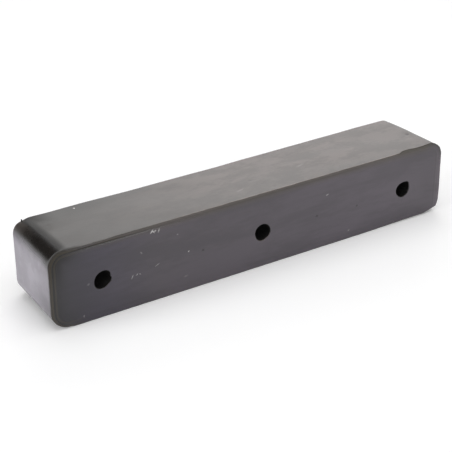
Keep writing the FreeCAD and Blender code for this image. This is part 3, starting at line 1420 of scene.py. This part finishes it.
MOULDED_SKIN = RubberFinish(
    name="moulded_skin",
    dark=(0.0046, 0.0042, 0.0036),
    worn=(0.0072, 0.0064, 0.0055),
    bloom=(0.034, 0.030, 0.029),
    bloom_share=0.80,
    roughness=0.36,
    roughness_spread=0.015,
    corner_shine=0.13,
    ior=1.6,
    grain=0.5,
    flow=0.35,
    bump=0.00006,
    stretch=0.22,
)
TORN_LIP = RubberFinish(
    name="torn_lip",
    dark=(0.0110, 0.0076, 0.0036),
    worn=(0.0230, 0.0160, 0.0080),
    bloom=(0.060, 0.049, 0.040),
    bloom_share=0.75,
    roughness=0.47,
    roughness_spread=0.04,
    corner_shine=0.0,
    ior=1.6,
    grain=1.0,
    flow=0.6,
    bump=0.00012,
    stretch=0.5,
)
BORED_WALL = RubberFinish(
    name="bored_wall",
    dark=(0.0040, 0.0038, 0.0037),
    worn=(0.0090, 0.0082, 0.0072),
    bloom=(0.016, 0.014, 0.012),
    bloom_share=0.15,
    roughness=0.62,
    roughness_spread=0.06,
    corner_shine=0.0,
    ior=1.4,
    grain=1.0,
    flow=0.0,
    bump=0.00010,
    stretch=1.0,
)


@dataclass(frozen=True)
class SkinBloomAndPaintedLight:
    """The colours of the grey bloom on each side of the skin, and how matt it is beside the lip. The end
    colour given here is a painted reflection of the pale floor, and the front left colour is painted shade.
    """

    upper: Triple = (0.122, 0.101, 0.095)
    front: Triple = (0.106, 0.088, 0.111)
    # Painted shade: the bluer front colour towards the left end
    front_left_shade: Triple = (0.108, 0.086, 0.160)
    # Painted reflection of the pale floor, laid as the end faces' bloom colour
    end: Triple = (0.310, 0.288, 0.332)
    rim: Triple = (0.062, 0.048, 0.026)
    arc: Triple = (0.100, 0.084, 0.074)
    dullness: float = 0.45


# The lip's pale upper colour is partly a painted highlight of its edge catching the light, partly bloom
LIP_BLOOM_AND_HIGHLIGHT = SkinBloomAndPaintedLight(upper=(0.215, 0.182, 0.166), end=(0.080, 0.052, 0.014))


@dataclass(frozen=True)
class SkinMarks:
    """Scuffs and specks on the skin, with painted shade in the upper side's dents and in the left end's
    painted reflection.

    The mounting face's are placed in X and Z, the upper side's in X and Y, the left end's in Y and Z.
    """

    front_pale: Sequence[Mark] = (
        Mark(-122.6, 36.4, 2.3, 0.75, 52.0, 1.0),
        Mark(-121.2, 36.0, 2.1, 0.65, -48.0, 0.95),
        Mark(-119.0, 36.2, 1.3, 0.8, 20.0, 0.85),
        Mark(-115.2, 35.6, 2.0, 0.7, 70.0, 0.75),
        Mark(-83.7, 4.2, 0.8, 0.7, 0.0, 1.0),
        Mark(-134.2, 17.6, 1.6, 0.8, 120.0, 0.22),
        Mark(-117.7, 0.1, 2.6, 0.5, 24.0, 0.40),
        Mark(-144.2, -4.7, 2.2, 0.45, 62.0, 0.55),
        Mark(-139.2, -3.6, 1.3, 0.5, 40.0, 0.55),
        Mark(-136.2, -3.9, 1.2, 0.45, -35.0, 0.45),
        Mark(-87.1, -21.4, 2.4, 1.0, 10.0, 0.14),
        Mark(-189.2, 1.4, 1.6, 1.0, 15.0, 0.16),
        Mark(-195.3, -30.0, 0.8, 1.5, 10.0, 0.2),
        Mark(76.9, 20.2, 1.4, 0.9, 20.0, 0.45),
        Mark(105.7, -27.8, 1.4, 0.9, 35.0, 0.3),
        Mark(-95.4, 25.6, 0.8, 0.7, 0.0, 0.35),
    )
    front_dark: Sequence[Mark] = (
        Mark(-67.7, 0.9, 1.5, 1.3, 0.0, 0.8),
        Mark(114.7, -2.1, 1.4, 1.2, 0.0, 0.7),
        Mark(65.0, -0.1, 1.6, 1.3, 0.0, 0.8),
    )
    top_pale: Sequence[Mark] = (
        Mark(-164.7, 72.7, 1.1, 1.1, 0.0, 1.0),
        Mark(-14.0, 19.2, 5.0, 1.4, 15.0, 0.14),
        Mark(67.5, 34.4, 6.0, 1.6, 20.0, 0.12),
    )
    # Painted shade in the upper side's dents
    top_dent_shade: Sequence[Mark] = (
        Mark(6.5, 32.7, 1.6, 1.2, 10.0, 0.35),
        Mark(12.4, 20.5, 1.4, 1.1, 0.0, 0.35),
        Mark(19.0, 7.9, 1.6, 1.1, 0.0, 0.4),
        Mark(26.3, 30.6, 1.3, 1.0, 0.0, 0.3),
        Mark(205.1, 34.6, 2.6, 1.5, 0.0, 1.0),
    )
    # Painted shade: darker patches in the left end's painted reflection
    end_reflection_shade: Sequence[Mark] = (
        Mark(48.0, 25.0, 11.0, 3.4, 42.0, 0.20),
        Mark(57.0, 28.0, 22.0, 8.0, 0.0, 0.22),
    )
    dark: Triple = (0.006, 0.006, 0.006)
    pale: Triple = (0.50, 0.49, 0.48)
    facing: Pair = (0.90, 0.99)


class RubberPaint:
    """Turns finishes into materials."""

    CLOUD_SCALE = 38.0
    BLOOM_SPAN: Pair = (0.2, 1.0)

    def __init__(self) -> None:
        """Builds the shared node groups."""
        self.effects = RubberEffects()

    def material(
        self, finish: RubberFinish, film: SkinBloomAndPaintedLight | None = None, marks: SkinMarks | None = None
    ) -> bpy.types.Material:
        """A material of dark rubber under a grey bloom, which handling has worn off the rounded edges, with
        painted reflection, highlight and shade laid into the bloom's colour.

        Args:
            finish: Colours, gloss and grain.
            film: The bloom of the flats, with painted reflection, highlight and shade in its colours, or None
                where the finish's own bloom lies everywhere.
            marks: Scuffs and specks, or None.
        Returns:
            The material.
        """
        material = bpy.data.materials.new(finish.name)
        material.use_nodes = True
        material.node_tree.nodes.clear()
        nodes = Nodes(material.node_tree)
        lie = nodes.add("ShaderNodeTexCoord").outputs
        place = lie["Object"]
        scale = self.CLOUD_SCALE
        clouds = nodes.group(self.effects.clouds, Vector=place, Scale=scale, Stretch=finish.stretch)
        colour = nodes.mix(clouds, (*finish.dark, 1.0), (*finish.worn, 1.0))
        if film is None:
            share = nodes.math("MULTIPLY", nodes.ramp(clouds, *self.BLOOM_SPAN), finish.bloom_share)
            colour = nodes.mix(share, colour, (*finish.bloom, 1.0))
        else:
            distance = nodes.add("ShaderNodeAttribute", {"attribute_name": "edge_distance"}).outputs["Fac"]
            dull = nodes.group(self.effects.dull, Vector=place, Distance=distance)
            colour = nodes.group(
                self.effects.film,
                Vector=place,
                Normal=lie["Normal"],
                Distance=distance,
                Clouds=clouds,
                Dull=dull,
                Share=finish.bloom_share,
                Bare=colour,
                Upper=(*film.upper, 1.0),
                Front=(*film.front, 1.0),
                Front_Left=(*film.front_left_shade, 1.0),
                End=(*film.end, 1.0),
                Rim=(*film.rim, 1.0),
                Arc=(*film.arc, 1.0),
            )
        if marks is not None:
            colour = self._marked(nodes, place, lie["Normal"], colour, marks)
        height = nodes.group(self.effects.relief, Vector=place, Grain=finish.grain, Flow=finish.flow)
        normal = nodes.add("ShaderNodeBump", None, Strength=1.0, Distance=finish.bump, Height=height)
        spread = finish.roughness_spread
        gloss = nodes.ramp(clouds, 0.0, 1.0, finish.roughness - spread, finish.roughness + spread)
        if finish.corner_shine > 0.0:
            turned = nodes.group(self.effects.turned, Normal=lie["Normal"])
            gloss = nodes.math("MULTIPLY_ADD", turned, -finish.corner_shine, gloss)
        if film is not None:
            gloss = nodes.math("MULTIPLY_ADD", dull, film.dullness, gloss)
        shader = nodes.add("ShaderNodeBsdfPrincipled", None, Base_Color=colour, Roughness=gloss)
        nodes.put(shader.inputs["Normal"], normal.outputs[0])
        shader.inputs["IOR"].default_value = finish.ior
        nodes.add("ShaderNodeOutputMaterial", None, Surface=shader.outputs[0])
        return material

    def _marked(self, nodes: Nodes, place: Any, normal: Any, colour: Any, marks: SkinMarks) -> Any:
        """Lays the scuffs and specks over a colour.

        Args:
            nodes: The material's nodes.
            place: Socket with the place on the bar.
            normal: Socket with the way the surface faces.
            colour: Socket with the colour so far.
            marks: What lies on it.
        Returns:
            The socket with the finished colour.
        """
        x, y, z = nodes.axes(place)
        facing_x, facing_y, facing_z = nodes.axes(normal)
        low, high = marks.facing
        front = (nodes.ramp(facing_y, -low, -high), x, z)
        upper = (nodes.ramp(facing_z, low, high), x, y)
        left = (nodes.ramp(facing_x, -low, -high), y, z)
        # The dark tone lays specks on the mounting face and painted shade in the upper side's dents and on
        # the left end
        for tone, lots in (
            (marks.dark, ((front, marks.front_dark), (upper, marks.top_dent_shade), (left, marks.end_reflection_shade))),
            (marks.pale, ((front, marks.front_pale), (upper, marks.top_pale))),
        ):
            mask: Any = 0.0
            for (side, across, up), lot in lots:
                own = nodes.add("ShaderNodeCombineXYZ", None, X=across, Y=up).outputs[0]
                mask = nodes.math("MAXIMUM", mask, nodes.product(self._marks(nodes, own, lot), side))
            colour = nodes.mix(mask, colour, (*tone, 1.0))
        return colour

    def _marks(self, nodes: Nodes, place: Any, marks: Sequence[Mark]) -> Any:
        """The strongest of several marks at each place.

        Args:
            nodes: The material's nodes.
            place: Socket with the place in the side's own two axes.
            marks: The marks on that side.
        Returns:
            A socket with a mask from 0 to 1.
        """
        total: Any = 0.0
        for mark in marks:
            mask = nodes.group(
                self.effects.mark,
                Vector=place,
                Centre=(mark.u * MM, mark.v * MM, 0.0),
                Turn=math.radians(mark.turn),
                Half_Length=mark.half_length * MM,
                Half_Width=mark.half_width * MM,
                Strength=mark.strength,
            )
            total = nodes.math("MAXIMUM", mask, total)
        return total


@dataclass(frozen=True)
class Softbox:
    """A studio lamp: a lit rectangle that looks at a point. Metres and watts."""

    name: str
    place: Triple
    aim: Triple
    width: float
    height: float
    watts: float
    tint: Triple = (1.0, 1.0, 1.0)

    def build(self) -> bpy.types.Object:
        """Makes the lamp and turns it to its aim.

        Returns:
            The lamp's object.
        """
        lamp = bpy.data.lights.new(self.name, "AREA")
        lamp.shape = "RECTANGLE"
        lamp.size = self.width
        lamp.size_y = self.height
        lamp.energy = self.watts
        lamp.color = self.tint
        holder = bpy.data.objects.new(self.name, lamp)
        holder.location = self.place
        look = Vector(self.aim) - Vector(self.place)
        holder.rotation_euler = look.to_track_quat("-Z", "Y").to_euler()
        bpy.context.scene.collection.objects.link(holder)
        return holder


@dataclass
class Studio:
    """A pale floor under soft lamps."""

    floor_height: float
    floor_size: float = 24.0
    floor_colour: Triple = (0.93, 0.93, 0.93)
    floor_roughness: float = 0.9
    floor_lift: float = 0.12
    far_lift: float = 0.70
    lift_run: Pair = (1.5, 5.0)
    horizon: float = 0.75
    zenith: float = 0.30
    climb: Pair = (0.06, 0.40)
    dark_heading: Triple = (-0.42, 0.78, 0.46)
    dark_cone: Pair = (0.86, 0.97)
    dark_level: float = 0.06
    dark_above: Pair = (0.03, 0.16)
    lamps: Sequence[Softbox] = (
        Softbox("key_softbox", (1.35, 2.0, 1.25), (0.0, 0.0, 0.0), 1.9, 1.3, 15.0, (1.0, 0.978, 0.962)),
        Softbox("overhead_softbox", (0.1, -0.1, 2.0), (0.0, 0.0, 0.0), 2.6, 2.6, 29.0),
        Softbox("left_softbox", (-2.2, 0.2, 0.8), (-0.2, 0.0, 0.0), 1.5, 1.5, 21.0, (0.99, 0.985, 1.0)),
        Softbox("front_softbox", (0.8, -2.4, 1.0), (0.0, 0.0, 0.0), 1.4, 1.0, 10.0, (0.985, 0.98, 1.0)),
    )

    def build(self) -> None:
        """Makes the floor, the lamps and the sky."""
        self._floor()
        for lamp in self.lamps:
            lamp.build()
        self._sky()

    def _floor(self) -> None:
        """A plain pale square under the bar."""
        half = self.floor_size / 2
        corners = [(-half, -half), (half, -half), (half, half), (-half, half)]
        mesh = bpy.data.meshes.new("studio_floor")
        mesh.from_pydata([(x, y, self.floor_height) for x, y in corners], [], [(0, 1, 2, 3)])
        mesh.update()
        floor = bpy.data.objects.new("studio_floor", mesh)
        bpy.context.scene.collection.objects.link(floor)
        material = bpy.data.materials.new("pale_floor")
        material.use_nodes = True
        nodes = Nodes(material.node_tree)
        shader = material.node_tree.nodes["Principled BSDF"]
        shader.inputs["Base Color"].default_value = (*self.floor_colour, 1.0)
        shader.inputs["Roughness"].default_value = self.floor_roughness
        rays = nodes.add("ShaderNodeLightPath").outputs
        seen = nodes.math("MAXIMUM", rays["Is Camera Ray"], rays["Is Glossy Ray"])
        seen = nodes.math("MAXIMUM", seen, rays["Is Transmission Ray"])
        shader.inputs["Emission Color"].default_value = (1.0, 1.0, 1.0, 1.0)
        place = nodes.add("ShaderNodeTexCoord").outputs["Object"]
        radius = nodes.vector("LENGTH", place, out=1)
        lift = nodes.ramp(radius, *self.lift_run, self.floor_lift, self.far_lift)
        nodes.put(shader.inputs["Emission Strength"], nodes.product(seen, lift))
        mesh.materials.append(material)

    def _sky(self) -> None:
        """A soft dome, pale at the horizon and darker overhead and behind the bar's left end."""
        world = bpy.data.worlds.new("studio_dome")
        world.use_nodes = True
        world.node_tree.nodes.clear()
        nodes = Nodes(world.node_tree)
        heading = nodes.add("ShaderNodeTexCoord").outputs["Generated"]
        up = nodes.axes(heading)[2]
        level = nodes.ramp(up, *self.climb, self.horizon, self.zenith)
        toward = nodes.vector("DOT_PRODUCT", heading, Vector(self.dark_heading).normalized(), out=1)
        shade = nodes.ramp(toward, *self.dark_cone, 1.0, self.dark_level)
        raised = nodes.ramp(up, *self.dark_above)
        strength = nodes.product(level, nodes.math("MULTIPLY_ADD", shade, raised, nodes.rest(raised)))
        background = nodes.add("ShaderNodeBackground", None, Color=(1.0, 1.0, 1.0, 1.0), Strength=strength)
        nodes.add("ShaderNodeOutputWorld", None, Surface=background.outputs[0])
        bpy.context.scene.world = world


@dataclass(frozen=True)
class PhotoCamera:
    """The camera, at the photograph's viewing angle. Places in millimetres, clip in metres."""

    place: Triple = (-637.1, -930.5, 605.01)
    aim: Triple = (-16.33, 40.5, -6.23)
    lens: float = 105.094
    sensor: float = 36.0
    clip: Pair = (0.05, 60.0)

    def build(self) -> bpy.types.Object:
        """Makes the camera and gives it to the scene.

        Returns:
            The camera's object.
        """
        data = bpy.data.cameras.new("photo_camera")
        data.lens = self.lens
        data.sensor_width = self.sensor
        data.clip_start, data.clip_end = self.clip
        camera = bpy.data.objects.new("photo_camera", data)
        camera.location = Vector(self.place) * MM
        look = Vector(self.aim) - Vector(self.place)
        camera.rotation_euler = look.to_track_quat("-Z", "Y").to_euler()
        bpy.context.scene.collection.objects.link(camera)
        bpy.context.scene.camera = camera
        return camera


MOUTH_FLAWS: dict[str, tuple[float, Sequence[MouthFlaw]]] = {
    "left": (
        0.1,
        (
            MouthFlaw(14.0, 13.0, -1.2),
            MouthFlaw(306.0, 22.0, -1.5),
            MouthFlaw(216.0, 20.0, 0.7),
            MouthFlaw(60.0, 18.0, 0.4),
        ),
    ),
    "middle": (
        0.2,
        (MouthFlaw(195.0, 18.0, -0.5), MouthFlaw(300.0, 14.0, -0.4), MouthFlaw(350.0, 14.0, 0.4)),
    ),
    "right": (
        0.5,
        (MouthFlaw(46.0, 15.0, 1.3), MouthFlaw(228.0, 26.0, -0.6), MouthFlaw(104.0, 16.0, -0.4)),
    ),
}


def read_passages(record: dict[str, Any], size: BarSize) -> list[BoltPassage]:
    """The three bolt passages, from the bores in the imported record.

    Args:
        record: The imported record.
        size: The bar's sizes.
    Returns:
        The passages from left to right.
    """
    mounts = {mount["name"]: mount for mount in record["mounts"]}
    passages = []
    for name, (tightness, flaws) in MOUTH_FLAWS.items():
        hole = mounts["bolt_hole_" + name]
        counterbore = mounts["counterbore_" + name]
        place = hole["pos_m"]
        passages.append(
            BoltPassage(
                x=place[0] / MM,
                z=place[2] / MM,
                radius=hole["dims"]["r_mm"],
                bore_radius=counterbore["dims"]["r_mm"],
                floor=hole["dims"]["length_mm"],
                depth=size.depth,
                tightness=tightness,
                flaws=flaws,
            )
        )
    return passages


def dress(piece: bpy.types.Object, materials: Sequence[bpy.types.Material]) -> None:
    """Gives a piece its materials and the body that it rides.

    Args:
        piece: The object.
        materials: Its materials, in slot order.
    """
    for material in materials:
        piece.data.materials.append(material)
    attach(piece, BODY)
    log.info("%s: %d faces", piece.name, len(piece.data.polygons))


def main() -> None:
    """Builds the camera, the studio, the bar and its vent pip."""
    logging.basicConfig(level=logging.INFO, format="%(name)s: %(message)s")
    bpy.context.scene.view_settings.view_transform = "Standard"
    size = BarSize()
    PhotoCamera().build()
    Studio(floor_height=size.bottom * MM - FLOOR_GAP).build()
    paint = RubberPaint()
    skin = paint.material(MOULDED_SKIN, SkinBloomAndPaintedLight(), SkinMarks())
    lip = paint.material(TORN_LIP, LIP_BLOOM_AND_HIGHLIGHT)
    bore = paint.material(BORED_WALL)
    bar = RubberBar(size, read_passages(frame["record"], size)).build()
    dress(bar, (skin, lip, bore))
    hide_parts(BAR_NODE)
    dress(VentPip().build(), (bore,))


if __name__ == "__main__":
    main()
